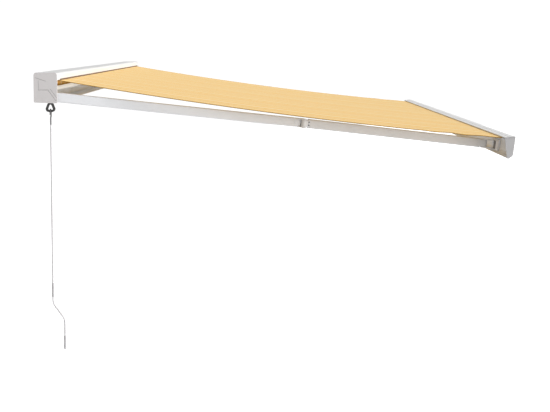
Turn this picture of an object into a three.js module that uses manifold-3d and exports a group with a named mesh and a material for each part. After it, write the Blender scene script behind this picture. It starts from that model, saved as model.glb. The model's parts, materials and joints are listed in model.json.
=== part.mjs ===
// A folding-arm cassette awning, drawn open. Millimetres, +Z up.
// Origin: centre of the middle wall bracket's back face. The wall is the plane Y = 0,
// the awning reaches out along -Y, and +X is its right-hand side seen from the front.
import * as THREE from "three";
import Module from "manifold-3d";
import { mergeVertices } from "three/addons/utils/BufferGeometryUtils.js";

const wasm = await Module();
wasm.setup();

// ---- driving dimensions ----
const WIDTH = 4500;             // over the cassette's end caps
const CAP = 14;                 // end cap thickness
const GAP = 0.3;                // clearance left between neighbouring pieces
const CASE_BACK = -20;          // cassette back face, standing off the wall on its brackets
const CASE_FRONT = -164;
const CASE_TOP = 92;
const CASE_BASE = -92;
const WALL = 3;                 // extrusion wall thickness
const ROLL_Y = -70;             // roller axis
const ROLL_Z = 22.5;
const ROLL_R = 35;              // roller with the turns of cloth left on it
const CLOTH_WIDTH = 4300;
const CLOTH_THICK = 1.2;
const CLOTH_SAG = 28;
const PITCH = THREE.MathUtils.degToRad(6.86); // slope of the plane the arms fold in
const PIVOT_X = 2185;           // shoulder pivots, either side of the middle
const PIVOT_Y = -60;
const PIVOT_Z = -52.5;
const UPPER = 1690;             // shoulder pivot to elbow pivot
const FORE = 1240;              // elbow pivot to front pivot
const ELBOW_SIDE = 22;          // elbow pivot beside both arms' centre lines
const UPPER_ANGLE = THREE.MathUtils.degToRad(10.5);  // turned in from straight ahead, open
const UPPER_HALF = 30;          // half heights of the two arm tubes
const FORE_HALF = 30;
const TUBE_WIDE = 34;
const FORE_WIDE = 32;
const BAR_END = 2231.8;         // half length of the front bar over its caps
const BAR_CAP = 5;
const EYE_X = -2212;            // vertical worm shaft and its eye
const EYE_Y = -116;
const BAR_DROP = 18.5;          // the bar's datum below the arms' middle plane
const ROD_R = 5.75;
const ROD_TOP = -233;
const CRANK_OFFSET = 72;
const TURN = Math.PI * 2;

const white = { color: 0xf4f4f2, roughness: 0.38, metalness: 0.0 };
const pale = { color: 0xdcdbd9, roughness: 0.42, metalness: 0.0 };
const cast = { color: 0xcdcbc9, roughness: 0.5, metalness: 0.0 };
const steel = { color: 0x8c8b8c, roughness: 0.35, metalness: 0.9 };
const darkSteel = { color: 0x6d6a6c, roughness: 0.4, metalness: 0.8 };
const zinc = { color: 0xb9bbbd, roughness: 0.4, metalness: 0.9 };
const black = { color: 0x1c1c1c, roughness: 0.45, metalness: 0.0 };
const capGrey = { color: 0xcbc7c7, roughness: 0.55, metalness: 0.0 };
const cloth = { color: 0xf1d49b, roughness: 0.92, metalness: 0.0 };
const rolled = { color: 0xd9a864, roughness: 0.95, metalness: 0.0 };
const bronze = { color: 0xa5804a, roughness: 0.5, metalness: 0.9 };
const grip = { color: 0xe6e4e6, roughness: 0.5, metalness: 0.0 };

const awning = new THREE.Group();
awning.name = "cassette_awning";

function add(name, geometry, look) {
  const mesh = new THREE.Mesh(geometry, new THREE.MeshStandardMaterial(look));
  mesh.name = name;
  awning.add(mesh);
  return mesh;
}

// ---- solids and booleans ----
function solid(geometry) {
  const bare = geometry.clone();
  bare.deleteAttribute("normal");
  bare.deleteAttribute("uv");
  const joined = mergeVertices(bare, 1e-4);
  const numProp = 3;
  const vertProperties = new Float32Array(joined.attributes.position.array);
  const triVerts = new Uint32Array(joined.index.array);
  return new wasm.Manifold(new wasm.Mesh({ numProp, vertProperties, triVerts }));
}

function surface(body) {
  const mesh = body.getMesh();
  const geometry = new THREE.BufferGeometry();
  const place = new Float32Array(mesh.vertProperties);
  geometry.setAttribute("position", new THREE.BufferAttribute(place, 3));
  geometry.setIndex(new THREE.BufferAttribute(new Uint32Array(mesh.triVerts), 1));
  geometry.computeVertexNormals();
  return geometry;
}

function union(...parts) {
  let body = solid(parts[0]);
  for (const part of parts.slice(1)) {
    body = body.add(solid(part));
  }
  return surface(body);
}

function cut(base, ...tools) {
  let body = solid(base);
  for (const tool of tools) {
    body = body.subtract(solid(tool));
  }
  return surface(body);
}

// ---- outlines ----
function circle(cx, cy, r, count = 20) {
  return Array.from({ length: count }, (_, i) => {
    const a = (i / count) * TURN;
    return [cx + r * Math.cos(a), cy + r * Math.sin(a)];
  });
}

function arc(cx, cy, r, from, to, steps) {
  return Array.from({ length: steps + 1 }, (_, i) => {
    const a = THREE.MathUtils.degToRad(from + ((to - from) * i) / steps);
    return [cx + r * Math.cos(a), cy + r * Math.sin(a)];
  });
}

function rounded(w, h, r, steps = 2) {
  return [
    ...arc(w / 2 - r, h / 2 - r, r, 0, 90, steps),
    ...arc(-w / 2 + r, h / 2 - r, r, 90, 180, steps),
    ...arc(-w / 2 + r, -h / 2 + r, r, 180, 270, steps),
    ...arc(w / 2 - r, -h / 2 + r, r, 270, 360, steps),
  ];
}

function side(o, a, b) {
  return (a[0] - o[0]) * (b[1] - o[1]) - (a[1] - o[1]) * (b[0] - o[0]);
}

function hull(points) {
  const order = [...points].sort((a, b) => a[0] - b[0] || a[1] - b[1]);
  const half = (list) => {
    const out = [];
    for (const p of list) {
      while (out.length > 1 && side(out[out.length - 2], out[out.length - 1], p) <= 1e-9) {
        out.pop();
      }
      out.push(p);
    }
    out.pop();
    return out;
  };
  return [...half(order), ...half(order.reverse())];
}

function prism(outline, depth, holes = []) {
  const shape = new THREE.Shape(outline.map(([a, b]) => new THREE.Vector2(a, b)));
  for (const hole of holes) {
    shape.holes.push(new THREE.Path(hole.map(([a, b]) => new THREE.Vector2(a, b))));
  }
  return new THREE.ExtrudeGeometry(shape, { depth, bevelEnabled: false, curveSegments: 12 });
}

// An outline in (Y, Z), drawn out along X.
function alongX(outline, x0, x1, holes = []) {
  const turn = new THREE.Matrix4().makeBasis(
    new THREE.Vector3(0, 1, 0),
    new THREE.Vector3(0, 0, 1),
    new THREE.Vector3(1, 0, 0),
  );
  return prism(outline, x1 - x0, holes).applyMatrix4(turn).translate(x0, 0, 0);
}

// An outline in (X, Z), drawn out from y0 towards the street side.
function alongY(outline, y0, y1, holes = []) {
  return prism(outline, y1 - y0, holes).rotateX(Math.PI / 2).translate(0, y1, 0);
}

function box(x0, x1, y0, y1, z0, z1) {
  const g = new THREE.BoxGeometry(x1 - x0, y1 - y0, z1 - z0);
  return g.translate((x0 + x1) / 2, (y0 + y1) / 2, (z0 + z1) / 2);
}

function upright(cx, cy, r, z0, z1, count = 20) {
  return prism(circle(0, 0, r, count), z1 - z0).translate(cx, cy, z0);
}

// ---- the sloping plane the arms fold in ----
const OUT = new THREE.Vector3(0, -Math.cos(PITCH), -Math.sin(PITCH));
const ACROSS = new THREE.Vector3(1, 0, 0);
const NORMAL = new THREE.Vector3(0, -Math.sin(PITCH), Math.cos(PITCH));
const armPlane = new THREE.Matrix4().makeBasis(OUT, ACROSS, NORMAL);
armPlane.setPosition(0, PIVOT_Y, PIVOT_Z);

// Points in that plane are [out, across]; a piece stands between two heights.
function inPlane(outline, h0, h1, holes = []) {
  return prism(outline, h1 - h0, holes).translate(0, 0, h0).applyMatrix4(armPlane);
}

// A (out, height) outline of the same plane, drawn out across it.
function acrossPlane(outline, x0, x1) {
  const sides = outline.map(([w, h]) => {
    const p = new THREE.Vector3(w, 0, h).applyMatrix4(armPlane);
    return [p.y, p.z];
  });
  return alongX(sides, x0, x1);
}

// A straight tube in the arm plane.
function armTube(from, to, wide, high, hollow) {
  const run = new THREE.Vector3(to[0] - from[0], to[1] - from[1], 0);
  const length = run.length();
  const along = run.normalize();
  const perp = new THREE.Vector3(-along.y, along.x, 0);
  const turn = new THREE.Matrix4().makeBasis(perp, new THREE.Vector3(0, 0, 1), along);
  turn.setPosition(from[0], from[1], 0);
  const holes = hollow ? [rounded(wide - 2 * hollow, high - 2 * hollow, 4).reverse()] : [];
  const body = prism(rounded(wide, high, 6.5), length, holes);
  return body.applyMatrix4(turn).applyMatrix4(armPlane);
}

// ---- linkage: where the pivots stand with the awning open ----
const upperRun = Math.sqrt(UPPER ** 2 - ELBOW_SIDE ** 2);
const foreRun = Math.sqrt(FORE ** 2 - ELBOW_SIDE ** 2);
const inset = upperRun - foreRun;       // front pivot nearer the middle than the shoulder
const foreAngle = Math.asin((inset - UPPER * Math.sin(UPPER_ANGLE)) / FORE);
const upperLine = UPPER_ANGLE + Math.asin(ELBOW_SIDE / UPPER);
const foreLine = foreAngle - Math.asin(ELBOW_SIDE / FORE);
const elbowOut = UPPER * Math.cos(UPPER_ANGLE);
const elbowIn = UPPER * Math.sin(UPPER_ANGLE);
const frontOut = elbowOut + FORE * Math.cos(foreAngle);

// [out, in from the shoulder pivot] to [out, across] for the arm on side s (-1 left, +1 right)
function armPoint(s, out, inward) {
  return [out, s * (PIVOT_X - inward)];
}

function step(s, base, angle, run, off) {
  const out = base[0] + run * Math.cos(angle) - off * Math.sin(angle);
  const inward = base[1] + run * Math.sin(angle) + off * Math.cos(angle);
  return armPoint(s, out, inward);
}

// ---- cassette ----
const rearOutline = [
  [CASE_BACK, CASE_BASE],
  [CASE_BACK, CASE_TOP],
  [-32, CASE_TOP],
  [-32, CASE_TOP - WALL],
  [-24, CASE_TOP - WALL],
  [-24, -16],
  [-117, -16],
  [-117, 0],
  [-118, 2.4],
  [-120, 3.4],
  [-122, 2.4],
  [-123, 0],
  [-123, -22],
  [-121, -24],
  [-119, -24],
  [-117, -22],
  [-117, -18.5],
  [-24, -18.5],
  [-24, CASE_BASE + 2.5],
  [-36, CASE_BASE + 2.5],
  [-136, -94.2],
  [-138, -93.4],
  [-139.6, -94.6],
  [-138, -96.2],
  [-36, CASE_BASE],
];
const caseEnd = WIDTH / 2 - CAP - GAP;
add(
  "rear_profile",
  cut(
    alongX(rearOutline, -caseEnd, caseEnd),
    box(-caseEnd - 5, -2188, -130, -24.001, -40, 10),
    box(-caseEnd - 5, -2192, -145, -86, -104, -88),
  ),
  white,
);

const hoodOutline = [
  [-32.3, CASE_TOP - WALL],
  [-32.3, CASE_TOP],
  ...arc(-148, 76, 16, 90, 180, 6),
  [CASE_FRONT, 46],
  [-158.5, 46],
  [-158.5, 50],
  [-161, 52],
  ...arc(-148, 76, 13, 180, 90, 5),
];
add("hood", alongX(hoodOutline, -caseEnd, caseEnd), white);

// End caps: moulded plates with shallow sunk lines on their outer faces.
const capOutline = [
  [CASE_BACK, CASE_BASE + 4],
  ...arc(-34, 78, 14, 0, 90, 5),
  ...arc(-148, 76, 16, 90, 180, 6),
  [CASE_FRONT, CASE_BASE - 1],
  [CASE_FRONT + 4, CASE_BASE - 5.2],
  [CASE_BACK - 4, CASE_BASE],
];

function sunkLine(x0, x1, from, to, wide) {
  const dy = to[0] - from[0];
  const dz = to[1] - from[1];
  const l = Math.hypot(dy, dz);
  const py = (-dz / l) * (wide / 2);
  const pz = (dy / l) * (wide / 2);
  const outline = [
    [from[0] + py, from[1] + pz],
    [to[0] + py, to[1] + pz],
    [to[0] - py, to[1] - pz],
    [from[0] - py, from[1] - pz],
  ];
  return alongX(outline, x0, x1);
}

for (const [name, s] of [["end_cap_left", -1], ["end_cap_right", 1]]) {
  const inner = s * (WIDTH / 2 - CAP);
  const outer = (s * WIDTH) / 2;
  const face = outer - s * 1.6;
  const skin = [Math.min(face, outer + s), Math.max(face, outer + s)];
  add(
    name,
    cut(
      alongX(capOutline, Math.min(inner, outer), Math.max(inner, outer)),
      sunkLine(...skin, [-30, 62], [-96, 40], 2.4),
      sunkLine(...skin, [-49, 44], [-49, -14], 2.4),
      sunkLine(...skin, [-46, -14], [-104, -14], 2.4),
      sunkLine(...skin, [-106, -12], [-158, -84], 2.4),
      sunkLine(...skin, [-122, -8], [-161, -62], 2.4),
    ),
    capGrey,
  );
}

// Wall brackets: a plate on the wall that the profile's back is bolted against.
const plateOutline = [
  [0, -86],
  [0, 86],
  [-19.7, 86],
  [-19.7, 70],
  [-8, 62],
  [-8, -62],
  [-19.7, -70],
  [-19.7, -86],
];
for (const [place, x] of [["left", -2060], ["middle", 0], ["right", 2060]]) {
  const bracket = alongX(plateOutline, x - 70, x + 70);
  const bores = [-34, 34].map((z) => alongY(circle(x, z, 6.5), -12, 2));
  add("wall_bracket_" + place, cut(bracket, ...bores), cast);
  for (const [row, z] of [["low", -34], ["high", 34]]) {
    const shank = alongY(circle(x, z, 6), -9, -0.2);
    const washer = alongY(circle(x, z, 12), -10.3, -8.3);
    const head = alongY(circle(x, z, 9.5, 6), -16.5, -10.2);
    add("wall_bolt_" + place + "_" + row, union(shank, washer, head), zinc);
  }
}

// ---- roller, worm gear and bearings ----
function rollerLathe(points, x0) {
  const profile = points.map(([r, x]) => new THREE.Vector2(r, x));
  const g = new THREE.LatheGeometry(profile, 28);
  return g.rotateZ(-Math.PI / 2).translate(x0, ROLL_Y, ROLL_Z);
}

const TUBE_END = 2184;
const tubeOutline = [
  [30.2, -TUBE_END],
  [31.8, -TUBE_END],
  [31.8, TUBE_END],
  [30.2, TUBE_END],
  [30.2, -TUBE_END],
];
add("roller_tube", rollerLathe(tubeOutline, 0), zinc);
const half = CLOTH_WIDTH / 2;
const rollOutline = [
  [32.1, -half],
  [ROLL_R, -half],
  [ROLL_R, half],
  [32.1, half],
  [32.1, -half],
];
add("fabric_roll", rollerLathe(rollOutline, 0), rolled);
const wheelOutline = [
  [0, -2227],
  [12, -2227],
  [12, -2222],
  [36, -2222],
  [36, -2202],
  [22, -2202],
  [22, -2184],
  [29.8, -2184 + GAP],
  [29.8, -2140],
  [0, -2140],
];
wheelOutline[7][1] = -2183.7;
wheelOutline[6][1] = -2183.7;
add("worm_wheel", rollerLathe(wheelOutline, 0), bronze);
const gudgeonOutline = [
  [0, 2140],
  [29.8, 2140],
  [29.8, 2183.7],
  [10, 2183.7],
  [10, 2226],
  [0, 2226],
];
add("idle_gudgeon", rollerLathe(gudgeonOutline, 0), zinc);

const gearBlock = alongX(
  [
    [-28, -17],
    [-28, 63],
    [-112, 63],
    [-126, 40],
    [-126, -17],
  ],
  -caseEnd + 1,
  -2190,
);
const wheelRoom = rollerLathe(
  [
    [0, -2228],
    [36.8, -2228],
    [36.8, -2180],
    [0, -2180],
  ],
  0,
);
add(
  "gearbox",
  cut(
    union(gearBlock, upright(EYE_X, EYE_Y, 14, -78, -15)),
    wheelRoom,
    upright(EYE_X, EYE_Y, 9.6, -90, 46),
  ),
  cast,
);
const idleBlock = alongX(
  [
    [-28, -15.7],
    [-28, 60],
    [-100, 60],
    [-112, 46],
    [-112, -15.7],
  ],
  2190,
  caseEnd - 1,
);
const idleBore = rollerLathe(
  [
    [0, 2180],
    [10.3, 2180],
    [10.3, 2228],
    [0, 2228],
  ],
  0,
);
add("idle_bearing", cut(idleBlock, idleBore), cast);

// The eye: a rounded triangle on the foot of the worm shaft.
function pearOutline(grow) {
  const top = arc(0, -113.8, 7 + grow, 150, 30, 6);
  const right = arc(10.9, -134, 4 + grow, 25, -55, 5);
  const foot = [[0, -142 - grow]];
  const left = arc(-10.9, -134, 4 + grow, 235, 155, 5);
  return [...top, ...right, ...foot, ...left];
}

const ring = alongX(pearOutline(15), -5.2, 5.2, [pearOutline(0).reverse()]);
ring.translate(EYE_X, EYE_Y, 0);
add(
  "crank_eye",
  union(
    ring,
    upright(EYE_X, EYE_Y, 9.2, -29, 42),
    upright(EYE_X, EYE_Y, 7.5, -98, -27),
  ),
  black,
);

const B = frontOut + 15.6;      // back edge of the bar, measured out from the shoulders

function belowPlane(points) {
  return points.map(([out, height]) => [out, height - BAR_DROP]);
}

// ---- folding arms ----
function pin(s, at, r, h0, h1, headLow) {
  const shank = inPlane(circle(at[0], at[1], r), h0 - 1, h1);
  const head = inPlane(circle(at[0], at[1], r * 1.6), h0 - headLow, h0);
  return union(shank, head);
}

for (const [hand, s] of [["left", -1], ["right", 1]]) {
  const shoulder = armPoint(s, 0, 0);
  const elbow = armPoint(s, elbowOut, elbowIn);
  const front = armPoint(s, frontOut, inset);
  const onUpper = (run, off = 0) => step(s, [0, 0], upperLine, run, off);
  const onFore = (run, off = 0) => step(s, [elbowOut, elbowIn], foreLine, run, off + ELBOW_SIDE);

  // Shoulder bracket: back plate in the recess and two lugs around the pivot.
  const lug = hull([
    ...circle(shoulder[0], shoulder[1], 24),
    [-30, shoulder[1] - 26],
    [-30, shoulder[1] + 26],
  ]);
  const plate = alongX(
    [
      [-24.3, -86],
      [-24.3, -19.4],
      [-34, -19.4],
      [-34, -86],
    ],
    shoulder[1] - 40,
    shoulder[1] + 40,
  );
  add(
    "shoulder_bracket_" + hand,
    cut(
      union(plate, inPlane(lug, 21.6, 29), inPlane(lug, -29, -21.6)),
      inPlane(circle(shoulder[0], shoulder[1], 8.3), -40, 40),
    ),
    cast,
  );
  add("shoulder_pin_" + hand, pin(s, shoulder, 8, -29.4, 29, 3.5), steel);

  // Upper arm: root knuckle, tube, elbow fork.
  const root = hull([
    ...circle(shoulder[0], shoulder[1], 20),
    onUpper(50, 15),
    onUpper(50, -15),
  ]);
  add(
    "upper_root_" + hand,
    cut(
      union(
        inPlane(root, -21.2, 21.2),
        armTube(onUpper(46), onUpper(57), TUBE_WIDE + 2, 2 * UPPER_HALF, 0),
        armTube(onUpper(50), onUpper(100), TUBE_WIDE - 6.8, 2 * UPPER_HALF - 6.8, 0),
      ),
      inPlane(circle(shoulder[0], shoulder[1], 8.3), -40, 40),
    ),
    cast,
  );
  add(
    "upper_arm_" + hand,
    armTube(onUpper(57.3), onUpper(upperRun - 62.3), TUBE_WIDE, 2 * UPPER_HALF, WALL),
    pale,
  );
  const fork = hull([
    ...circle(elbow[0], elbow[1], 19),
    onUpper(upperRun - 54, 16),
    onUpper(upperRun - 46, -10),
    onUpper(upperRun + 2, 17),
    onUpper(upperRun + 2, 3),
  ]);
  const web = hull([
    onUpper(upperRun - 36, 3),
    onUpper(upperRun - 36, 17),
    onUpper(upperRun + 2, 17),
    onUpper(upperRun + 2, 3),
  ]);
  add(
    "elbow_fork_" + hand,
    cut(
      union(
        inPlane(fork, 22, 29.6),
        inPlane(fork, -29.6, -22),
        inPlane(web, -25, 25),
        armTube(onUpper(upperRun - 62), onUpper(upperRun - 32), TUBE_WIDE, 2 * UPPER_HALF - 1, 0),
        armTube(onUpper(upperRun - 33), onUpper(upperRun - 21.8), TUBE_WIDE - 1, 50, 0),
        armTube(
          onUpper(upperRun - 105),
          onUpper(upperRun - 60),
          TUBE_WIDE - 6.8,
          2 * UPPER_HALF - 6.8,
          0,
        ),
      ),
      inPlane(circle(elbow[0], elbow[1], 7.3), -40, 40),
    ),
    cast,
  );

  // Forearm: elbow knuckle, tube, front tongue.
  const knuckle = hull([
    ...circle(elbow[0], elbow[1], 18),
    onFore(32, 15),
    onFore(32, -15),
  ]);
  add(
    "elbow_knuckle_" + hand,
    cut(
      union(
        inPlane(knuckle, -21.3, 21.3),
        armTube(onFore(27), onFore(42), FORE_WIDE, 2 * FORE_HALF, 0),
        armTube(onFore(40), onFore(90), FORE_WIDE - 6.8, 2 * FORE_HALF - 6.8, 0),
      ),
      inPlane(circle(elbow[0], elbow[1], 7.3), -40, 40),
    ),
    cast,
  );
  const reach = s < 0 ? 48 : 116;
  add(
    "forearm_" + hand,
    armTube(onFore(42.3), onFore(foreRun - reach), FORE_WIDE, 2 * FORE_HALF, WALL),
    pale,
  );
  const tongue = hull([
    ...circle(front[0], front[1], 19),
    onFore(foreRun - reach + 6, 13),
    onFore(foreRun - reach + 6, -13),
  ]);
  add(
    "front_tongue_" + hand,
    cut(
      union(
        inPlane(tongue, -23.6, 23.6),
        armTube(
          onFore(foreRun - reach + 0.3),
          onFore(foreRun - reach + (s < 0 ? 16.5 : 9)),
          FORE_WIDE + 1,
          2 * FORE_HALF + 1,
          0,
        ),
        armTube(
          onFore(foreRun - reach - 40),
          onFore(foreRun - reach + 2),
          FORE_WIDE - 6.8,
          2 * FORE_HALF - 6.8,
          0,
        ),
      ),
      inPlane(circle(front[0], front[1], 7.3), -40, 40),
    ),
    cast,
  );
  add("elbow_pin_" + hand, pin(s, elbow, 7, -30, 30, 1.2), steel);

  // Bracket on the front bar: two lugs and a base that fills the back of the bar.
  const lugIn = s < 0 ? 24 : 90;
  const lugs = hull([
    ...circle(front[0], front[1], 23),
    [front[0] - 16, front[1] - s * lugIn],
    [B + 46, front[1] - s * lugIn],
    [B + 46, front[1] + s * 26],
  ]);
  const base = [
    [B + 44, -29],
    [B + 47, -29],
    [B + 52, -26.5],
    [B + 56.6, -18.6],
    [B + 58.3, -11],
    [B + 58.3, 42],
    [B + 48, 42],
    [B + 44, 36],
  ];
  const ends = [front[1] - s * (lugIn + 8), front[1] + s * 150].sort((a, b) => a - b);
  add(
    "bar_bracket_" + hand,
    cut(
      union(
        acrossPlane(base, ends[0], ends[1]),
        inPlane(lugs, 24.6, 30.6),
        inPlane(lugs, -30.6, -24.6),
      ),
      inPlane(circle(front[0], front[1], 7.3), -40, 40),
    ),
    cast,
  );
  if (s < 0) {
    add("front_pin_left", pin(s, front, 7, -30.8, 30.4, 1), steel);
  } else {
    add("front_pin_right", inPlane(circle(front[0], front[1], 7), -23.2, 23.2), steel);
    for (const [place, h0, h1] of [["low", -31.8, -25.2], ["high", 25.2, 31.8]]) {
      const stem = inPlane(circle(front[0], front[1], 7), h0, h1);
      const flat = h0 < 0 ? [h0, h0 + 1] : [h1 - 1, h1];
      const cover = inPlane(circle(front[0], front[1], 11.5), flat[0], flat[1]);
      add("front_bolt_" + place, union(stem, cover), steel);
    }
  }
}

// ---- front bar ----
const barOutline = [
  [B, 104],
  [B + 24, 109.6],
  [B + 25, 108.4],
  [B + 27.5, 109],
  [B + 28.5, 110.6],
  [B + 59, 117.8],
  [B + 62.5, 116.4],
  [B + 63.7, 112],
  [B + 63, 62],
  [B + 62.4, 6],
  [B + 60, -4.5],
  [B + 52.5, -14],
  [B + 39, -25.6],
  [B + 33, -27],
  [B + 33, -24],
  [B + 37.5, -23],
  [B + 50, -12],
  [B + 57.4, -2],
  [B + 59.2, 6],
  [B + 60.5, 110.5],
  [B + 58, 113.4],
  [B + 23.4, 105.6],
  [B + 23.4, 88],
  [B, 88],
  [B, 94.2],
  [B + 17.4, 94.2],
  [B + 17.4, 98.2],
  [B, 98.2],
];
const barRun = BAR_END - BAR_CAP - GAP;
add("front_bar", acrossPlane(belowPlane(barOutline), -barRun, barRun), white);
const barCapOutline = [
  [B + 0.2, 88],
  [B + 0.2, 104.6],
  [B + 59, 118.4],
  [B + 63.2, 116.8],
  [B + 64.4, 112],
  [B + 63, 5],
  [B + 60.5, -5],
  [B + 53, -14.6],
  [B + 39, -26.4],
  [B + 32, -28],
  [B + 26, -20],
];
for (const [name, s] of [["bar_cap_left", -1], ["bar_cap_right", 1]]) {
  const at = [s * (BAR_END - BAR_CAP), s * BAR_END].sort((a, b) => a - b);
  const skin = [s * (BAR_END - 1.4), s * (BAR_END + 1)].sort((a, b) => a - b);
  const seam = acrossPlane(
    belowPlane([
      [B + 4, 96.5],
      [B + 4, 98.9],
      [B + 57, 111],
      [B + 57, 108.6],
    ]),
    skin[0],
    skin[1],
  );
  add(name, cut(acrossPlane(belowPlane(barCapOutline), at[0], at[1]), seam), capGrey);
}

// ---- canopy: one sheet from the top of the roller to the groove in the front bar ----
const slotEnd = new THREE.Vector3(B + 16.6, 0, 96.2 - BAR_DROP).applyMatrix4(armPlane);
const slotLip = new THREE.Vector3(B - 4, 0, 96.2 - BAR_DROP).applyMatrix4(armPlane);
const midR = ROLL_R + GAP + CLOTH_THICK / 2;
const startSlope = 0.163;
const clothPath = [];
for (let i = 0; i <= 6; i++) {
  const a = Math.atan(startSlope) - ((6 - i) / 6) * 0.9;
  clothPath.push([ROLL_Y - midR * Math.sin(a), ROLL_Z + midR * Math.cos(a)]);
}
const lift = clothPath[6];
for (let i = 1; i <= 28; i++) {
  const t = i / 28;
  const y = lift[0] + (slotLip.y - lift[0]) * t;
  const z = lift[1] + (slotLip.z - lift[1]) * t - 4 * CLOTH_SAG * t * (1 - t);
  clothPath.push([y, z]);
}
clothPath.push([slotEnd.y, slotEnd.z]);

function sheet(path, thick, halfWide, columns) {
  const rows = path.length;
  const place = [];
  const index = [];
  for (let layer = 0; layer < 2; layer++) {
    for (let i = 0; i < rows; i++) {
      const before = path[Math.max(0, i - 1)];
      const after = path[Math.min(rows - 1, i + 1)];
      const dy = after[0] - before[0];
      const dz = after[1] - before[1];
      const l = Math.hypot(dy, dz);
      const off = (layer ? 1 : -1) * (thick / 2);
      for (let j = 0; j <= columns; j++) {
        const x = -halfWide + (2 * halfWide * j) / columns;
        place.push(x, path[i][0] + (dz / l) * off, path[i][1] - (dy / l) * off);
      }
    }
  }
  const at = (layer, i, j) => (layer * rows + i) * (columns + 1) + j;
  const quad = (a, b, c, d) => index.push(a, b, c, a, c, d);
  for (let i = 0; i < rows - 1; i++) {
    for (let j = 0; j < columns; j++) {
      quad(at(1, i, j), at(1, i + 1, j), at(1, i + 1, j + 1), at(1, i, j + 1));
      quad(at(0, i, j), at(0, i, j + 1), at(0, i + 1, j + 1), at(0, i + 1, j));
    }
    quad(at(0, i, 0), at(0, i + 1, 0), at(1, i + 1, 0), at(1, i, 0));
    const n = columns;
    quad(at(0, i, n), at(1, i, n), at(1, i + 1, n), at(0, i + 1, n));
  }
  for (let j = 0; j < columns; j++) {
    const e = rows - 1;
    quad(at(0, 0, j), at(1, 0, j), at(1, 0, j + 1), at(0, 0, j + 1));
    quad(at(0, e, j), at(0, e, j + 1), at(1, e, j + 1), at(1, e, j));
  }
  const geometry = new THREE.BufferGeometry();
  geometry.setAttribute("position", new THREE.Float32BufferAttribute(place, 3));
  geometry.setIndex(index);
  geometry.computeVertexNormals();
  return geometry;
}
add("canopy", sheet(clothPath, CLOTH_THICK, half, 4), cloth);

// ---- crank ----
// A round bar bent along a list of points, with flat ends.
function bent(points, r, sides = 10) {
  const place = [];
  const index = [];
  const count = points.length;
  let u = new THREE.Vector3(1, 0, 0);
  points.forEach((p, i) => {
    const before = points[Math.max(0, i - 1)];
    const after = points[Math.min(count - 1, i + 1)];
    const t = new THREE.Vector3().subVectors(after, before).normalize();
    const v = new THREE.Vector3().crossVectors(t, u);
    if (v.lengthSq() < 1e-6) {
      v.set(0, 1, 0);
    }
    v.normalize();
    u = new THREE.Vector3().crossVectors(v, t).normalize();
    for (let k = 0; k < sides; k++) {
      const a = (k / sides) * TURN;
      const q = p.clone().addScaledVector(u, r * Math.cos(a)).addScaledVector(v, r * Math.sin(a));
      place.push(q.x, q.y, q.z);
    }
  });
  for (let i = 0; i < count - 1; i++) {
    for (let k = 0; k < sides; k++) {
      const n = (k + 1) % sides;
      const a = i * sides;
      const b = a + sides;
      index.push(a + k, a + n, b + n, a + k, b + n, b + k);
    }
  }
  const first = points[0];
  const last = points[count - 1];
  place.push(first.x, first.y, first.z, last.x, last.y, last.z);
  const c0 = count * sides;
  for (let k = 0; k < sides; k++) {
    const n = (k + 1) % sides;
    index.push(c0, n, k);
    index.push(c0 + 1, c0 - sides + k, c0 - sides + n);
  }
  const geometry = new THREE.BufferGeometry();
  geometry.setAttribute("position", new THREE.Float32BufferAttribute(place, 3));
  geometry.setIndex(index);
  geometry.computeVertexNormals();
  return geometry;
}

function route(corners, bend, steps = 4) {
  const out = [corners[0]];
  for (let i = 1; i < corners.length - 1; i++) {
    const p = corners[i];
    const a = corners[i - 1].clone().sub(p).setLength(bend).add(p);
    const b = corners[i + 1].clone().sub(p).setLength(bend).add(p);
    for (let k = 0; k <= steps; k++) {
      const t = k / steps;
      const q = a.clone().multiplyScalar((1 - t) ** 2);
      q.addScaledVector(p, 2 * t * (1 - t)).addScaledVector(b, t * t);
      out.push(q);
    }
  }
  out.push(corners[corners.length - 1]);
  return out;
}

const V = (x, y, z) => new THREE.Vector3(EYE_X + x, EYE_Y + y, z);

const hookR = 13.5;
const hookWire = 4.1;
const crown = -149.6;           // middle of the bend, its inside resting on the eye
const hookPath = [V(0, 0, ROD_TOP + GAP), V(0, 0, -198), V(2.5, 0, -188), V(11.4, 0, -177)];
hookPath.push(V(13.5, 0, -168));
for (const [dx, dz] of arc(0, 0, hookR, 0, 180, 10)) {
  hookPath.push(V(dx, 0, crown + dz));
}
hookPath.push(V(-13.5, 0, -170));
add("crank_hook", bent(hookPath, hookWire, 10), darkSteel);
const rodPath = route(
  [
    V(0, 0, ROD_TOP),
    V(0, 0, -1361),
    V(0, -CRANK_OFFSET, -1463),
    V(0, -CRANK_OFFSET, -1655),
  ],
  20,
);
add("crank_rod", bent(rodPath, ROD_R, 12), grip);

function sleeve(cy, z0, z1, r) {
  const bore = ROD_R + GAP;
  const profile = [
    [bore, z0],
    [r - 1.2, z0],
    [r, z0 + 2],
    [r, z1 - 2],
    [r - 1.2, z1],
    [bore, z1],
    [bore, z0],
  ];
  const g = new THREE.LatheGeometry(profile.map(([a, b]) => new THREE.Vector2(a, b)), 20);
  return g.rotateX(Math.PI / 2).translate(EYE_X, EYE_Y + cy, 0);
}
add("upper_grip", sleeve(0, -1320, -1233, 8.5), grip);
add("lower_grip", sleeve(-CRANK_OFFSET, -1652, -1569, 8.5), grip);

export default awning;
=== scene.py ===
import json
import math
import random

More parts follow.
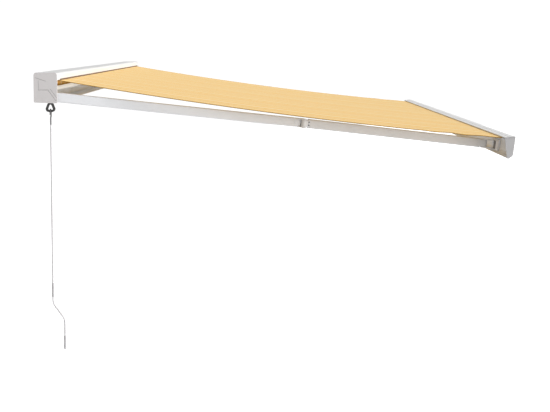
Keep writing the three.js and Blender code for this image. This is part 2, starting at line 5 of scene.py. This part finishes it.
import bmesh
import bpy
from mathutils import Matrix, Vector


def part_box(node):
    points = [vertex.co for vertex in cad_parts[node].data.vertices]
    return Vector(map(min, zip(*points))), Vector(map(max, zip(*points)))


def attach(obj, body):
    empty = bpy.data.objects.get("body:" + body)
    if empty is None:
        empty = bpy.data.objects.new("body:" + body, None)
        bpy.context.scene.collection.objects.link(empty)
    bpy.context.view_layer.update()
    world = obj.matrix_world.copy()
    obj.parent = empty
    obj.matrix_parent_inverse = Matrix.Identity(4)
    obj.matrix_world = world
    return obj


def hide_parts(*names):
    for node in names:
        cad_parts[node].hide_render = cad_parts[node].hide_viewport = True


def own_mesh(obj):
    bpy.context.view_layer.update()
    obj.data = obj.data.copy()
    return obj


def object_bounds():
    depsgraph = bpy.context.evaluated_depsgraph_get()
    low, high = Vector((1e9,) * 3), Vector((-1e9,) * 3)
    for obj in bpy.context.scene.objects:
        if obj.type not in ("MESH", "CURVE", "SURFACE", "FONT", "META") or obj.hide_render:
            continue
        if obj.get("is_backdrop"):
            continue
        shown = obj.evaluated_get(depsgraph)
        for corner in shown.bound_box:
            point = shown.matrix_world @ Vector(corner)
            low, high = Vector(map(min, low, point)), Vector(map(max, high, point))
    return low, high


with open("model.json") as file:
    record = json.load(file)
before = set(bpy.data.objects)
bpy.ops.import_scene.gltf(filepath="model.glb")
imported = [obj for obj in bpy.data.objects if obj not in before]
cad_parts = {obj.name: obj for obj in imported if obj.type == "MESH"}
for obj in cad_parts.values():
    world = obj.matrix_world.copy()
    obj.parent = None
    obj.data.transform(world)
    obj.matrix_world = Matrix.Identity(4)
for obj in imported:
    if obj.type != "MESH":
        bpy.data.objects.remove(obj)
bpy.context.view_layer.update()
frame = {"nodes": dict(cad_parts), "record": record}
rng = random.Random(7)
scene = bpy.context.scene
nodes = frame["nodes"]


# ---------------------------------------------------------------- materials
class Shade:
    """A Principled material under construction."""

    def __init__(self, name, colour, rough, metal=0.0, **sockets):
        self.mat = bpy.data.materials.new(name)
        self.mat.use_nodes = True
        self.tree = self.mat.node_tree
        self.bsdf = next(n for n in self.tree.nodes if n.type == "BSDF_PRINCIPLED")
        self.put("Base Color", (*colour, 1.0))
        self.put("Roughness", rough)
        self.put("Metallic", metal)
        for key, value in sockets.items():
            self.put(key.replace("_", " "), value)
        self.coord = self.tree.nodes.new("ShaderNodeTexCoord").outputs["Object"]
        self.height = None

    def put(self, key, value):
        self.bsdf.inputs[key].default_value = value

    def node(self, kind, **inputs):
        made = self.tree.nodes.new(kind)
        for key, value in inputs.items():
            self.feed(made.inputs[key.replace("_", " ")], value)
        return made

    def feed(self, socket, value):
        if isinstance(value, bpy.types.NodeSocket):
            self.tree.links.new(value, socket)
        else:
            socket.default_value = value

    def math(self, what, a, b=None, c=None):
        made = self.tree.nodes.new("ShaderNodeMath")
        made.operation = what
        for at, value in enumerate((a, b, c)):
            if value is not None:
                self.feed(made.inputs[at], value)
        return made.outputs[0]

    def scaled(self, x, y, z):
        made = self.node("ShaderNodeMapping", Vector=self.coord)
        made.inputs["Scale"].default_value = (x, y, z)
        return made.outputs[0]

    def noise(self, scale, detail=3.0, rough=0.5, at=None):
        made = self.node(
            "ShaderNodeTexNoise",
            Vector=at or self.coord,
            Scale=scale,
            Detail=detail,
            Roughness=rough,
        )
        return made.outputs["Fac"]

    def ramp(self, fac, stops, mode="LINEAR"):
        made = self.node("ShaderNodeValToRGB", Fac=fac)
        made.color_ramp.interpolation = mode
        marks = made.color_ramp.elements
        while len(marks) < len(stops):
            marks.new(0.5)
        for mark, (place, colour) in zip(marks, stops):
            mark.position = place
            mark.color = (*colour, 1.0)
        return made.outputs["Color"]

    def mix(self, fac, a, b, blend="MIX"):
        made = self.tree.nodes.new("ShaderNodeMix")
        made.data_type = "RGBA"
        made.blend_type = blend
        self.feed(made.inputs["Factor"], fac)
        for socket, value in ((made.inputs[6], a), (made.inputs[7], b)):
            if isinstance(value, tuple):
                value = (*value, 1.0)
            self.feed(socket, value)
        return made.outputs[2]

    def remap(self, fac, low, high, source=(0.3, 0.7)):
        made = self.node("ShaderNodeMapRange", Value=fac)
        made.inputs["From Min"].default_value = source[0]
        made.inputs["From Max"].default_value = source[1]
        made.inputs["To Min"].default_value = low
        made.inputs["To Max"].default_value = high
        return made.outputs[0]

    def bump(self, height, depth, strength=1.0):
        made = self.node("ShaderNodeBump", Height=height, Strength=strength, Distance=depth)
        if self.height is not None:
            self.tree.links.new(self.height, made.inputs["Normal"])
        self.height = made.outputs["Normal"]
        self.tree.links.new(self.height, self.bsdf.inputs["Normal"])

    def colour(self, value):
        self.tree.links.new(value, self.bsdf.inputs["Base Color"])

    def rough(self, value):
        self.tree.links.new(value, self.bsdf.inputs["Roughness"])


def shaded(c, k):
    return tuple(min(1.0, v * k) for v in c)


def coated(name, colour, rough, grain=900.0, depth=0.00004, spread=0.03, weather=0.06):
    """Powder-coated metal: orange-peel skin and faint run marks of dust."""
    s = Shade(name, colour, rough, IOR=1.5)
    broad = s.noise(2.2, 4.0, 0.6)
    tint = s.mix(s.remap(broad, 0.0, 1.0), shaded(colour, 1 - spread), shaded(colour, 1 + spread))
    streak = s.noise(1.0, 5.0, 0.65, at=s.scaled(9.0, 9.0, 1.6))
    dirt = s.remap(streak, 0.0, weather, (0.52, 0.78))
    s.colour(s.mix(dirt, tint, shaded(colour, 0.62)))
    s.rough(s.remap(s.noise(30.0, 3.0), rough - 0.05, rough + 0.07))
    s.bump(s.noise(grain, 2.0, 0.5), depth, 0.5)
    return s.mat


def moulded(name, colour, rough):
    """Moulded cover with a fine spark-eroded grain."""
    s = Shade(name, colour, rough, IOR=1.46)
    tint = s.mix(s.noise(6.0, 4.0), shaded(colour, 0.965), shaded(colour, 1.02))
    s.colour(tint)
    s.rough(s.remap(s.noise(55.0, 3.0), rough - 0.04, rough + 0.06))
    s.bump(s.noise(1500.0, 3.0, 0.6), 0.00006, 0.6)
    return s.mat


def machined(name, colour, rough, along=(1.0, 1.0, 1.0)):
    """Bare or plated steel with drawn marks."""
    s = Shade(name, colour, rough, metal=1.0)
    marks = s.noise(420.0, 4.0, 0.6, at=s.scaled(*along))
    s.colour(s.mix(s.noise(40.0, 3.0), shaded(colour, 0.85), shaded(colour, 1.08)))
    s.rough(s.remap(marks, rough - 0.08, rough + 0.12))
    s.bump(marks, 0.00003, 0.5)
    return s.mat


white_coat = coated("white_powder_coat", (0.81, 0.81, 0.805), 0.36)
pale_coat = coated("pale_powder_coat", (0.60, 0.604, 0.618), 0.42)
cast_coat = coated("cast_powder_coat", (0.61, 0.62, 0.645), 0.48, grain=380.0, depth=0.0001)
cap_shell = moulded("cap_shell", (0.545, 0.522, 0.518), 0.5)
bar_cap_shell = moulded("bar_cap_shell", (0.385, 0.378, 0.38), 0.46)
bracket_coat = coated("bracket_powder_coat", (0.80, 0.81, 0.84), 0.42, grain=380.0, depth=0.0001)
warm_coat = coated("case_powder_coat", (0.86, 0.85, 0.85), 0.42)
pin_steel = machined("pin_steel", (0.50, 0.49, 0.49), 0.33)
zinc_steel = machined("zinc_steel", (0.62, 0.63, 0.63), 0.38)
hook_steel = machined("hook_steel", (0.10, 0.097, 0.10), 0.4)
gear_bronze = machined("gear_bronze", (0.55, 0.40, 0.20), 0.4)
black_coat = coated("black_coat", (0.018, 0.018, 0.018), 0.42, grain=700.0, depth=0.00005)
rod_coat = coated("rod_coat", (0.50, 0.49, 0.50), 0.38)
grip_shell = moulded("grip_shell", (0.43, 0.42, 0.43), 0.5)

LOOKS = {
    "white_powder_coat": white_coat,
    "pale_powder_coat": pale_coat,
    "cast_aluminium_paint": cast_coat,
    "moulded_cap": cap_shell,
    "plain_steel": pin_steel,
    "zinc_steel": zinc_steel,
    "gear_bronze": gear_bronze,
    "black_enamel": black_coat,
    "hook_steel": hook_steel,
    "rod_paint": rod_coat,
    "grip_plastic": grip_shell,
}

OWN_LOOKS = {
    "bar_cap_left": bar_cap_shell,
    "bar_cap_right": bar_cap_shell,
    "bar_bracket_left": bracket_coat,
    "bar_bracket_right": bracket_coat,
    "rear_profile": warm_coat,
}

# The colours of the stripes, and the weave.
WARP_PITCH = 0.0011
WEFT_PITCH = 0.0013
GOLD = (0.89, 0.49, 0.095)
STRAW = (0.93, 0.63, 0.245)
CREAM = (0.95, 0.80, 0.50)
BROAD = 0.43  # repeats of the stripes, across the cloth
NARROW = 0.066
BROAD_BANDS = (
    (0.00, STRAW),
    (0.11, CREAM),
    (0.24, GOLD),
    (0.37, STRAW),
    (0.47, CREAM),
    (0.53, STRAW),
    (0.63, GOLD),
    (0.78, CREAM),
    (0.88, GOLD),
)
NARROW_BANDS = (
    (0.00, STRAW),
    (0.16, CREAM),
    (0.27, STRAW),
    (0.42, GOLD),
    (0.50, CREAM),
    (0.56, GOLD),
    (0.64, STRAW),
    (0.80, CREAM),
    (0.86, STRAW),
)


def woven(name, dark=1.0):
    """Striped solution-dyed cloth: stripes across X, plain weave, a soft sheen, faint fading."""
    s = Shade(name, STRAW, 0.86, Sheen_Weight=0.05, Sheen_Roughness=0.5, IOR=1.3)
    s.put("Specular IOR Level", 0.2)
    parts = s.node("ShaderNodeSeparateXYZ", Vector=s.coord)
    across, along = parts.outputs["X"], parts.outputs["Y"]
    sets = []
    for repeat, bands in ((BROAD, BROAD_BANDS), (NARROW, NARROW_BANDS)):
        turn = s.math("FRACT", s.math("DIVIDE", s.math("ADD", across, 4.0), repeat))
        sets.append(s.ramp(turn, bands, "CONSTANT"))
    stripes = s.mix(0.36, *sets)
    run = s.noise(1.0, 5.0, 0.7, at=s.scaled(13.0, 0.10, 0.10))
    stripes = s.mix(s.remap(run, 0.0, 0.5, (0.52, 0.70)), stripes, CREAM)
    stripes = s.mix(s.remap(run, 0.30, 0.0, (0.32, 0.47)), stripes, GOLD)
    fade = s.remap(s.noise(0.9, 4.0, 0.6), 0.0, 0.18)
    worn = s.mix(fade, stripes, (0.93, 0.66, 0.29))
    slub = s.noise(1.0, 4.0, 0.7, at=s.scaled(900.0, 26.0, 26.0))
    threads = s.mix(s.remap(slub, 0.0, 0.22), worn, shaded(STRAW, 0.72))
    # Painted shade: darkens and browns the whole cloth by the given factor, for cloth that lies in
    # shadow.
    if dark != 1.0:
        threads = s.mix(1.0, threads, (dark, dark * 0.93, dark * 0.82), "MULTIPLY")
    s.colour(threads)
    warp = s.math("SINE", s.math("MULTIPLY", across, 2 * math.pi / WARP_PITCH))
    weft = s.math("SINE", s.math("MULTIPLY", along, 2 * math.pi / WEFT_PITCH))
    s.bump(s.math("MULTIPLY", warp, weft), 0.00012, 0.5)
    s.bump(s.noise(3.0, 3.0), 0.004, 0.12)
    return s


cloth = woven("striped_cloth")
thin = cloth.tree.nodes.new("ShaderNodeBsdfTranslucent")
thin.inputs["Color"].default_value = (0.80, 0.56, 0.27, 1.0)
both = cloth.tree.nodes.new("ShaderNodeMixShader")
both.inputs[0].default_value = 0.05
out = next(n for n in cloth.tree.nodes if n.type == "OUTPUT_MATERIAL")
cloth.tree.links.new(cloth.bsdf.outputs[0], both.inputs[1])
cloth.tree.links.new(thin.outputs[0], both.inputs[2])
cloth.tree.links.new(both.outputs[0], out.inputs["Surface"])
# Painted shade: the cloth left on the roller gets its stripes darkened and browned, for the roll's
# shadow inside the case.
rolled = woven("rolled_cloth", 0.8)


def mesh_piece(name, verts, faces, mat, body, smooth=True):
    """A new mesh object with one material, riding on a body if one is given."""
    data = bpy.data.meshes.new(name)
    data.from_pydata(verts, [], faces)
    data.update()
    made = bpy.data.objects.new(name, data)
    scene.collection.objects.link(made)
    if smooth:
        data.shade_smooth()
    data.materials.append(mat)
    if body:
        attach(made, body)
    return made


def face_outwards(made):
    """Turns every face of a closed mesh outwards."""
    shape = bmesh.new()
    shape.from_mesh(made.data)
    bmesh.ops.recalc_face_normals(shape, faces=shape.faces)
    shape.to_mesh(made.data)
    shape.free()


# ---------------------------------------------------------------- carried-over CAD nodes
# Faces that get painted light: painted shade on the floors of the caps' sunk lines, a cooler
# painted tint in the case's shaded recess, and painted highlights on its front lip and on the top
# of the bar.
LINE_DEPTH = 2.2484  # X of the sunk lines' floor
RECESS_TOP, RECESS_FOOT, RECESS_FRONT = -0.0175, -0.0985, -0.0235
LIP_BACK, LIP_TOP, LIP_FOOT = -0.1165, 0.004, -0.026


def on_sunk_line(face):
    return abs(abs(face.center.x) - LINE_DEPTH) < 0.0003 and abs(face.normal.x) > 0.9


def in_recess(face):
    return RECESS_TOP > face.center.z > RECESS_FOOT and face.center.y < RECESS_FRONT


def faces_up(face):
    return face.normal.z > 0.85


def on_lip(face):
    return face.center.y < LIP_BACK and LIP_TOP > face.center.z > LIP_FOOT


# Painted shade: a near-black copy of the cap plastic on the floors of the caps' sunk lines.
sunk_line_painted_shade = moulded("sunk_line_painted_shade", (0.22, 0.21, 0.21), 0.6)
# Painted shade tint: a cooler, bluer copy of the case coat on the shaded recess, set against the
# warm light bounced there off the cloth.
recess_painted_shade_tint = coated("recess_painted_shade_tint", (0.82, 0.85, 0.90), 0.5)
# Painted highlight: a brighter copy of the white coat on the top faces of the front bar.
top_highlight_look = coated("bar_top_painted_highlight", (0.97, 0.97, 0.97), 0.36, weather=0.02)
# Painted highlight: a brighter, cooler copy of the case coat on the case's front lip.
lip_painted_highlight = coated("lip_painted_highlight", (0.93, 0.96, 1.0), 0.4, weather=0.02)
PAINTED_LIGHT_LOOKS = {
    "end_cap_left": [(sunk_line_painted_shade, on_sunk_line)],
    "end_cap_right": [(sunk_line_painted_shade, on_sunk_line)],
    "rear_profile": [(recess_painted_shade_tint, in_recess), (lip_painted_highlight, on_lip)],
    "front_bar": [(top_highlight_look, faces_up)],
}

slots = {r["node"]: r["material_slot"] for r in frame["record"]["subparts"]}
PLAIN_EDGE = 0.0006  # how far an edge is rounded off, unless its finish says otherwise
EDGE = {"cast_aluminium_paint": 0.0011, "moulded_cap": 0.0009, "grip_plastic": 0.0005}
for name, obj in nodes.items():
    look = LOOKS.get(slots[name])
    if look is None:
        continue
    look = OWN_LOOKS.get(name, look)
    obj.data.materials.clear()
    obj.data.materials.append(look)
    if name in PAINTED_LIGHT_LOOKS:
        for place, (other, picks) in enumerate(PAINTED_LIGHT_LOOKS[name], 1):
            obj.data.materials.append(other)
            for face in obj.data.polygons:
                if picks(face):
                    face.material_index = place
    weld = obj.modifiers.new("weld", "WELD")
    weld.merge_threshold = 0.00002
    soft = obj.modifiers.new("edge", "BEVEL")
    soft.width = EDGE.get(slots[name], PLAIN_EDGE)
    soft.segments = 2
    soft.limit_method = "ANGLE"
    soft.angle_limit = math.radians(38)
    soft.use_clamp_overlap = True
    obj.data.shade_smooth()
    even = obj.modifiers.new("even", "WEIGHTED_NORMAL")
    even.mode = "FACE_AREA"
    even.weight = 100

# ---------------------------------------------------------------- cloth
PITCH = math.radians(6.86)
SAG = 0.028  # of the cloth, at the middle of its length
OUT = Vector((0, -math.cos(PITCH), -math.sin(PITCH)))
UP = Vector((0, -math.sin(PITCH), math.cos(PITCH)))
SHOULDER = Vector((0, -0.060, -0.0525))  # origin of the arms' plane
BAR_BACK = 2.9091  # back edge of the front bar, out from the shoulders
GROOVE = 0.0777  # middle of its cloth groove above the arms' plane


def arm_plane(x, out, height):
    """A point given across, out along and up from the arms' plane."""
    return SHOULDER + OUT * out + UP * height + Vector((x, 0, 0))


roll_low, roll_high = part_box("fabric_roll")
roll_r = (roll_high.z - roll_low.z) / 2
roll_y = (roll_high.y + roll_low.y) / 2
roll_z = (roll_high.z + roll_low.z) / 2
cloth_low, cloth_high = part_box("canopy")
half_wide = (cloth_high.x - cloth_low.x) / 2
START = math.atan(0.163)  # where the cloth leaves the roller, past its top
mid_r = roll_r + 0.0009
lift = Vector((0, roll_y - mid_r * math.sin(START), roll_z + mid_r * math.cos(START)))
lip = arm_plane(0, BAR_BACK - 0.004, GROOVE)
slot_end = arm_plane(0, BAR_BACK + 0.0166, GROOVE)
ROWS = 120
WAVE_LENGTH, WAVE_DEPTH = 0.83, 0.0022  # slow waves across the cloth
CURL_PITCH = 0.21  # of the ripples along its side edges near the bar


def cloth_point(t, x):
    """A point of the hanging cloth, t from the roller to the bar, x across."""
    y = lift.y + (lip.y - lift.y) * t
    z = lift.z + (lip.z - lift.z) * t - 4 * SAG * t * (1 - t)
    free = 4 * t * (1 - t)
    edge = half_wide - abs(x)
    wave = WAVE_DEPTH * math.sin(2 * math.pi * x / WAVE_LENGTH + 0.7)
    z += free * wave * min(1.0, edge / 0.25)
    near_bar = max(0.0, (t - 0.80) / 0.20)
    curl = math.exp(-edge / 0.07)
    ripple = math.sin(2 * math.pi * (t * 2.9) / CURL_PITCH)
    depth = 0.0012 if x > 0 else 0.0022
    z += depth * curl * near_bar * (1 - near_bar) * 4 * ripple
    z -= 0.004 * curl * free
    return Vector((x, y, z))


def cloth_line(x):
    """One line of the cloth from the top of the roller out into the bar's groove."""
    line = [cloth_point(i / ROWS, x) for i in range(ROWS + 1)]
    for k in (0.35, 0.7, 1.0):
        p = lip.lerp(slot_end, k)
        line.append(Vector((x, p.y, p.z)))
    return line


def cloth_sheet(name, stations, mat):
    """The whole cloth, one line of points per station across it."""
    lines = [cloth_line(x) for x in stations]
    rows = len(lines[0])
    verts = [p for line in lines for p in line]
    faces = []
    for j in range(len(stations) - 1):
        for i in range(rows - 1):
            a = j * rows + i
            faces.append((a, a + 1, a + rows + 1, a + rows))
    return mesh_piece(name, verts, faces, mat, "cassette"), lines


columns = 150
stations = [-half_wide + 2 * half_wide * j / columns for j in range(columns + 1)]
canopy, lines = cloth_sheet("canopy_cloth", stations, cloth.mat)
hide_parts("canopy")


def winds_in(piece):
    """Gives a piece of the cloth its own copy of its mesh."""
    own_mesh(piece)


winds_in(canopy)


def hem_piece(name, side, mat):
    """The folded side hem: a soft roll of cloth under the sheet's edge."""
    edge = side * half_wide
    ring = (
        (0.0, 0.0002),
        (0.0006, -0.0016),
        (-0.001, -0.0042),
        (-0.007, -0.0046),
        (-0.024, -0.0018),
        (-0.0255, -0.0006),
    )
    verts, faces = [], []
    n = len(ring)
    path = cloth_line(edge)[:-3]
    for p in path:
        verts += [(p.x + side * dx, p.y, p.z + dz) for dx, dz in ring]
    for i in range(len(path) - 1):
        for k in range(n):
            a, b = i * n + k, i * n + (k + 1) % n
            quad = (a, b, b + n, a + n)
            faces.append(quad if side > 0 else quad[::-1])
    last = (len(path) - 1) * n
    front = tuple(range(last, last + n))
    rear = tuple(range(n))
    faces += [front, rear[::-1]] if side > 0 else [front[::-1], rear]
    made = mesh_piece(name, verts, faces, mat, "cassette")
    winds_in(made)
    return made


# Painted shade: the side hems get their stripes made much darker and browner, for the hem in
# shadow under the sheet's edge.
hem = woven("hem_cloth_painted_shade", 0.34)
hems = [hem_piece("side_hem_left", -1, hem.mat), hem_piece("side_hem_right", 1, hem.mat)]


# ---------------------------------------------------------------- lathed pieces
def lathe(name, profile, centre, axis, mat, body, steps=48, smooth=True):
    """A closed profile of (radius, place along the axis) turned about x or z."""
    verts, faces = [], []
    n = len(profile)
    for j in range(steps):
        a = 2 * math.pi * j / steps
        c, d = math.cos(a), math.sin(a)
        for r, h in profile:
            if axis == "x":
                verts.append((centre[0] + h, centre[1] + r * c, centre[2] + r * d))
            else:
                verts.append((centre[0] + r * c, centre[1] + r * d, centre[2] + h))
    for j in range(steps):
        m = (j + 1) % steps
        for k in range(n):
            q = (k + 1) % n
            faces.append((j * n + k, m * n + k, m * n + q, j * n + q))
    made = mesh_piece(name, verts, faces, mat, body, smooth)
    face_outwards(made)
    return made


def keep_edges(made, width=0.0003, angle=35):
    soft = made.modifiers.new("edge", "BEVEL")
    soft.width = width
    soft.segments = 2
    soft.limit_method = "ANGLE"
    soft.angle_limit = math.radians(angle)
    soft.harden_normals = True


# The turns of cloth left on the roller, their edges stepping a little at each end.
inner = 0.0321  # just outside the roller tube
turns = 6
end = (roll_high.x - roll_low.x) / 2
profile = []
for k in range(turns + 1):
    r = inner + (roll_r - inner) * k / turns
    x = -end + 0.0006 * ((k * 5) % 4)
    profile += [(r, x)] if k in (0, turns) else [(r - 0.00008, x), (r + 0.00008, x + 0.0003)]
profile += [(r, -x) for r, x in reversed(profile)]
cloth_roll = lathe(
    "cloth_roll", profile, (0, roll_y, roll_z), "x", rolled.mat, "roller", steps=72
)
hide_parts("fabric_roll")

# Grips: moulded sleeves with finger ribs.
for node in ("upper_grip", "lower_grip"):
    low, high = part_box(node)
    cx, cy = (low.x + high.x) / 2, (low.y + high.y) / 2
    outer = (high.x - low.x) / 2
    bore = 0.00605  # just over the rod
    tall = high.z - low.z
    profile = [(bore, 0.0), (outer - 0.0012, 0.0), (outer, 0.0018)]
    ribs = 11
    pitch = (tall - 0.022) / ribs
    for k in range(ribs):
        z = 0.011 + pitch * (k + 0.5)
        dip = outer - 0.0009
        profile += [
            (outer, z - 0.30 * pitch),
            (dip, z - 0.18 * pitch),
            (dip, z + 0.18 * pitch),
            (outer, z + 0.30 * pitch),
        ]
    profile += [(outer, tall - 0.0018), (outer - 0.0012, tall), (bore, tall)]
    sleeve = lathe(node + "_sleeve", profile, (cx, cy, low.z), "z", grip_shell, node, steps=40)
    keep_edges(sleeve)
    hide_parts(node)

# Two screws through the outer side of each forearm's elbow casting.
UPPER_ARM = 1.690
FOREARM = 1.240
SHOULDER_X = 2.185
FRONT_PIVOT_X = 1.73495
UPPER_RUN = math.radians(10.5)  # the upper arm's lean inwards
FORE_RUN = math.radians(5.5625)  # the forearm casting's
FOREARM_LEAN = math.radians(6.579)  # from elbow pivot to front pivot
SCREW_RUN, SCREW_OFF, SCREW_HEIGHT = 0.0352, 0.005, 0.0105  # from the elbow pivot
SCREW_HEAD = (
    (0.0, -0.004),
    (0.0046, -0.004),
    (0.0046, 0.0011),
    (0.0038, 0.0018),
    (0.0016, 0.0018),
    (0.0014, 0.0006),
    (0.0, 0.0006),
)
dark_screw = machined("dark_screw", (0.13, 0.13, 0.135), 0.4)
for hand, side in (("left", -1), ("right", 1)):
    for height in (-SCREW_HEIGHT, SCREW_HEIGHT):
        run, off = SCREW_RUN, SCREW_OFF
        out = UPPER_ARM * math.cos(UPPER_RUN) + run * math.cos(FORE_RUN) - off * math.sin(FORE_RUN)
        inward = (
            UPPER_ARM * math.sin(UPPER_RUN) + run * math.sin(FORE_RUN) + off * math.cos(FORE_RUN)
        )
        at = arm_plane(side * (SHOULDER_X - inward), out, height)
        profile = [(r, side * h) for r, h in SCREW_HEAD]
        place = "upper" if height > 0 else "lower"
        screw_name = f"elbow_screw_{place}_{hand}"
        body = hand + "_forearm"
        screw = lathe(screw_name, profile, at, "x", dark_screw, body, steps=24)
        keep_edges(screw, 0.0002)

# Painted shade: a dark grey block on the back of the bar's bracket, beside each front pivot, put
# there for the shadow in the gap of the pivot's fork.
shade_pad_look = moulded("painted_shade_pad", (0.16, 0.158, 0.16), 0.62)
FRONT_OUT = UPPER_ARM * math.cos(UPPER_RUN) + FOREARM * math.cos(FOREARM_LEAN)


def shade_pad_block(name, x0, x1, out0, out1, low, high, body):
    """A block in the arms' plane with two grooves across its face."""
    steps = ((low, 0.0), (low + 0.3 * (high - low), 0.0), (low + 0.33 * (high - low), 0.0016))
    face = [(h, d) for h, d in steps] + [(low + high - h, d) for h, d in reversed(steps)]
    section = [(out0 + d, h) for h, d in face] + [(out1, high), (out1, low)]
    verts = [tuple(arm_plane(x, out, h)) for x in (x0, x1) for out, h in section]
    n = len(section)
    faces = [tuple(range(n))[::-1], tuple(range(n, 2 * n))]
    faces += [(k, (k + 1) % n, n + (k + 1) % n, n + k) for k in range(n)]
    made = mesh_piece(name, verts, faces, shade_pad_look, body)
    face_outwards(made)
    keep_edges(made, 0.0008)
    return made


for hand, side in (("left", -1), ("right", 1)):
    pivot_x = side * FRONT_PIVOT_X
    shade_pad_block(
        "pivot_shade_pad_" + hand,
        pivot_x + side * 0.032,
        pivot_x + side * 0.078,
        FRONT_OUT + 0.0556,
        FRONT_OUT + 0.0600,
        -0.024,
        0.030,
        "front_bar",
    )

# Painted shade: a dark brown strip with a bristly bump under the hood's front edge, where the
# cloth comes out, put there for the shadow line in the gap between hood and cloth.
shade_strip_mat = Shade("hood_shade_strip", (0.16, 0.09, 0.055), 0.95)
strip_grain = shade_strip_mat.noise(1.0, 3.0, 0.7, at=shade_strip_mat.scaled(1500.0, 40.0, 40.0))
shade_strip_mat.colour(shade_strip_mat.mix(strip_grain, (0.08, 0.045, 0.028), (0.24, 0.15, 0.095)))
shade_strip_mat.bump(strip_grain, 0.0006, 0.8)
hood_low, hood_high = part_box("hood")
shade_strip_front = hood_low.y - 0.0008
shade_strip_top = hood_low.z + 0.0064
verts, faces = [], []
cells = 900
for j in range(cells + 1):
    x = -half_wide + 2 * half_wide * j / cells
    tip_z = hood_low.z - 0.0024 + rng.uniform(-0.0006, 0.0006)
    for y, z in (
        (shade_strip_front, shade_strip_top),
        (shade_strip_front + 0.0004, tip_z),
        (shade_strip_front + 0.0020, tip_z),
        (shade_strip_front + 0.0022, shade_strip_top),
    ):
        verts.append((x, y, z))
for j in range(cells):
    for k in range(4):
        a, b = j * 4 + k, j * 4 + (k + 1) % 4
        faces.append((a, a + 4, b + 4, b))
faces += [(0, 1, 2, 3), tuple(cells * 4 + k for k in (3, 2, 1, 0))]
shade_strip = mesh_piece("hood_shade_strip", verts, faces, shade_strip_mat.mat, "cassette", smooth=False)

# ---------------------------------------------------------------- camera
cam_data = bpy.data.cameras.new("camera")
cam = bpy.data.objects.new("camera", cam_data)
scene.collection.objects.link(cam)
scene.camera = cam
# Fitted so that the awning lies in the picture as it does in the photograph.
cam.location = (-8.7399, -1.3951, 0.2644)
yaw, tip = -0.0182, 0.0622
forward = Vector((math.cos(tip) * math.cos(yaw), math.cos(tip) * math.sin(yaw), -math.sin(tip)))
cam.rotation_euler = forward.to_track_quat("-Z", "Y").to_euler()
cam_data.lens = 68.47
cam_data.sensor_width = 36.0
cam_data.shift_y = -0.1745
cam_data.clip_end = 200.0

# ---------------------------------------------------------------- floor and light
floor_mat = Shade("floor", (0.85, 0.85, 0.85), 0.9)
floor_mat.put("Emission Color", (1.0, 1.0, 1.0, 1.0))
floor_mat.put("Emission Strength", 0.75)
FLOOR_HALF = 60.0
FLOOR_Z = -5.0
floor = mesh_piece(
    "floor",
    [
        (-FLOOR_HALF, -FLOOR_HALF, FLOOR_Z),
        (FLOOR_HALF, -FLOOR_HALF, FLOOR_Z),
        (FLOOR_HALF, FLOOR_HALF, FLOOR_Z),
        (-FLOOR_HALF, FLOOR_HALF, FLOOR_Z),
    ],
    [(0, 1, 2, 3)],
    floor_mat.mat,
    None,
    smooth=False,
)
floor.visible_diffuse = False
floor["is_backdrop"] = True

world = bpy.data.worlds.new("sky")
scene.world = world
world.use_nodes = True
sky = world.node_tree
back = sky.nodes["Background"]
back.inputs["Color"].default_value = (1.0, 1.0, 1.0, 1.0)
ray = sky.nodes.new("ShaderNodeLightPath")
AMBIENT = 0.50  # what the sky lights with
SEEN = 1.05  # how bright the camera sees it
seen = sky.nodes.new("ShaderNodeMath")
seen.operation = "MULTIPLY_ADD"
seen.inputs[1].default_value = SEEN - AMBIENT
seen.inputs[2].default_value = AMBIENT
sky.links.new(ray.outputs["Is Camera Ray"], seen.inputs[0])
sky.links.new(seen.outputs[0], back.inputs["Strength"])


def far_light(name, strength, spread, along):
    """A soft distant lamp shining along a direction."""
    lamp = bpy.data.lights.new(name, "SUN")
    lamp.energy = strength
    lamp.angle = math.radians(spread)
    stand = bpy.data.objects.new(name, lamp)
    scene.collection.objects.link(stand)
    stand.rotation_euler = Vector(along).to_track_quat("-Z", "Y").to_euler()


far_light("key", 2.45, 35, (0.07, 0.87, -0.48))
far_light("side_fill", 2.3, 60, (0.86, 0.40, 0.10))
far_light("floor_bounce", 1.0, 70, (0.15, 0.80, 0.55))
scene.view_settings.view_transform = "Standard"

low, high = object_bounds()
